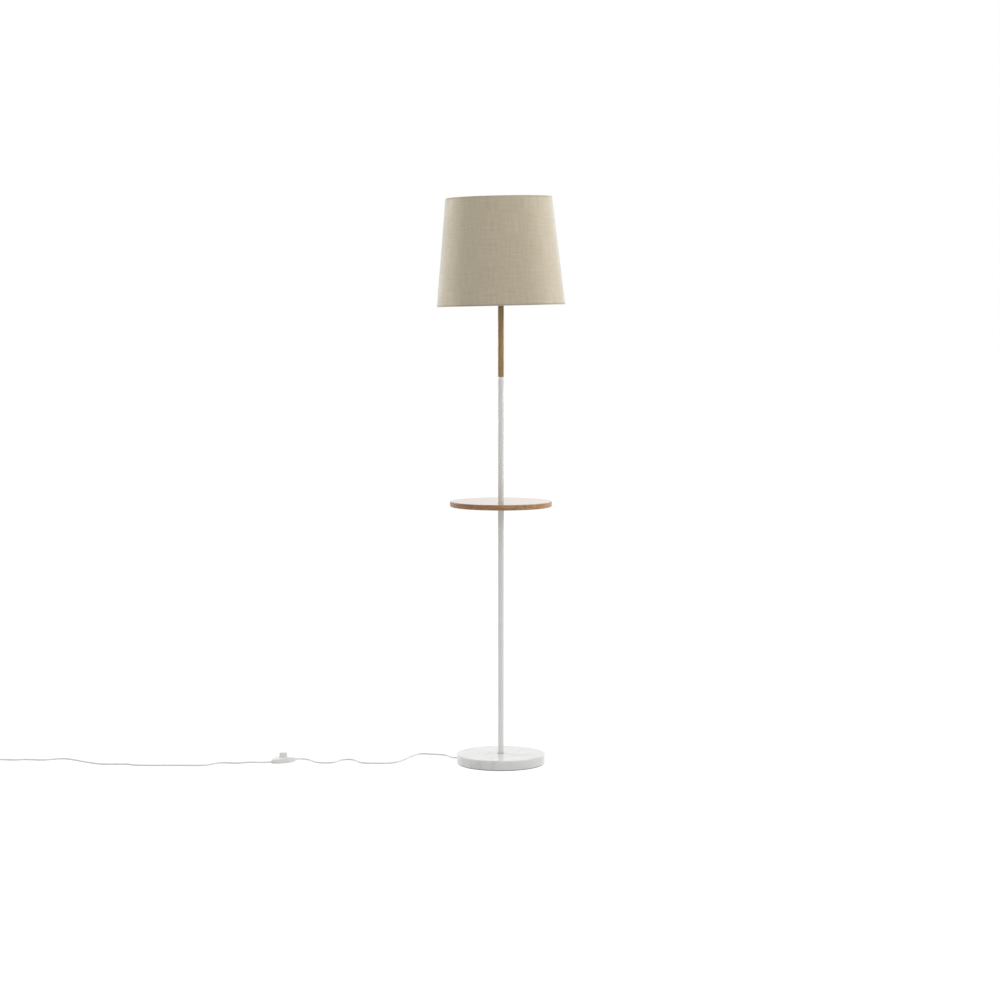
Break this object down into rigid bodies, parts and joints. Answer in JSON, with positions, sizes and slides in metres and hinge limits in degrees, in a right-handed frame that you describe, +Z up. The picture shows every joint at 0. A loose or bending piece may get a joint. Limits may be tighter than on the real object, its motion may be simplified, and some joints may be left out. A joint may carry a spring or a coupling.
{
  "type": "floor lamp",
  "caption": "Floor lamp with a round wooden table on its white pole, a marble foot, a conical fabric shade, and a cord with a foot switch and plug.",
  "frame": {"origin": "centre of the foot, on the floor it stands on", "axes": "+Z up along the pole; the cord runs out to -X; -Y is the side the picture shows"},
  "size_m": [1.7135, 0.35, 1.5582],
  "materials": {
    "marble": "polished white marble with faint grey veins",
    "felt": "pressed grey felt",
    "zinc_steel": "bright zinc plate",
    "brass": "turned",
    "white_enamel": "satin white powder coat",
    "table_wood": "clear gloss lacquer",
    "pole_wood": "satin lacquer, straight grain",
    "cord_pvc": "white PVC sheath",
    "tie_plastic": "white coated tie",
    "plug_pvc": "moulded white PVC",
    "nickel_brass": "nickel plated brass",
    "white_plastic": "moulded white PBT",
    "porcelain": "glazed steatite",
    "bulb_metal": "rolled thread",
    "opal_glass": "opal",
    "carrier_white": "white epoxy coated wire",
    "linen": "beige-grey linen on a stiff lining",
    "switch_plastic": "moulded white ABS",
    "spring_steel": "drawn spring wire",
    "button_plastic": "moulded light grey ABS"
  },
  "bodies": {
    "lamp": {"base_slab": "marble", "base_pad": "felt", "base_rod": "zinc_steel", "base_washer": "zinc_steel", "base_nut": "zinc_steel", "cord_bushing": "cord_pvc", "lower_tube": "white_enamel", "lower_tube_foot_insert": "brass", "lower_tube_top_insert": "brass", "table_flange": "white_enamel", "table_screws": "zinc_steel", "table_top": "table_wood", "table_rod": "zinc_steel", "upper_tube": "white_enamel", "upper_tube_insert": "brass", "pole_ferrule": "white_enamel", "wood_pole": "pole_wood", "inner_cord": "cord_pvc", "cord_lamp_side": "cord_pvc", "cord_wall_side": "cord_pvc", "cord_coil": "cord_pvc", "coil_tie": "tie_plastic", "plug_body": "plug_pvc", "plug_pins": "nickel_brass", "head_rod": "zinc_steel", "head_seat": "white_enamel", "lampholder_cap": "white_plastic", "head_nut": "zinc_steel", "lampholder_body": "white_plastic", "lampholder_core": "porcelain", "lampholder_shell": "brass", "centre_contact": "brass", "bulb_cap": "bulb_metal", "bulb_glass": "opal_glass", "shade_carrier": "carrier_white", "shade_ring_nut": "white_plastic", "shade_top_ring": "carrier_white", "shade_skin": "linen", "switch_base": "switch_plastic", "switch_cover": "switch_plastic", "switch_screws": "zinc_steel", "switch_core": "switch_plastic", "switch_spring": "spring_steel", "switch_reliefs": "cord_pvc", "switch_leads": "cord_pvc"},
    "foot_button": {"switch_button": "button_plastic"}
  },
  "joints": [
    {"name": "foot_button_press", "type": "slide", "parent": "lamp", "child": "foot_button", "axis": [0, 0, -1], "range_m": [0, 0.003], "stiffness_N_per_m": 600, "deforming": ["switch_spring"]}
  ]
}
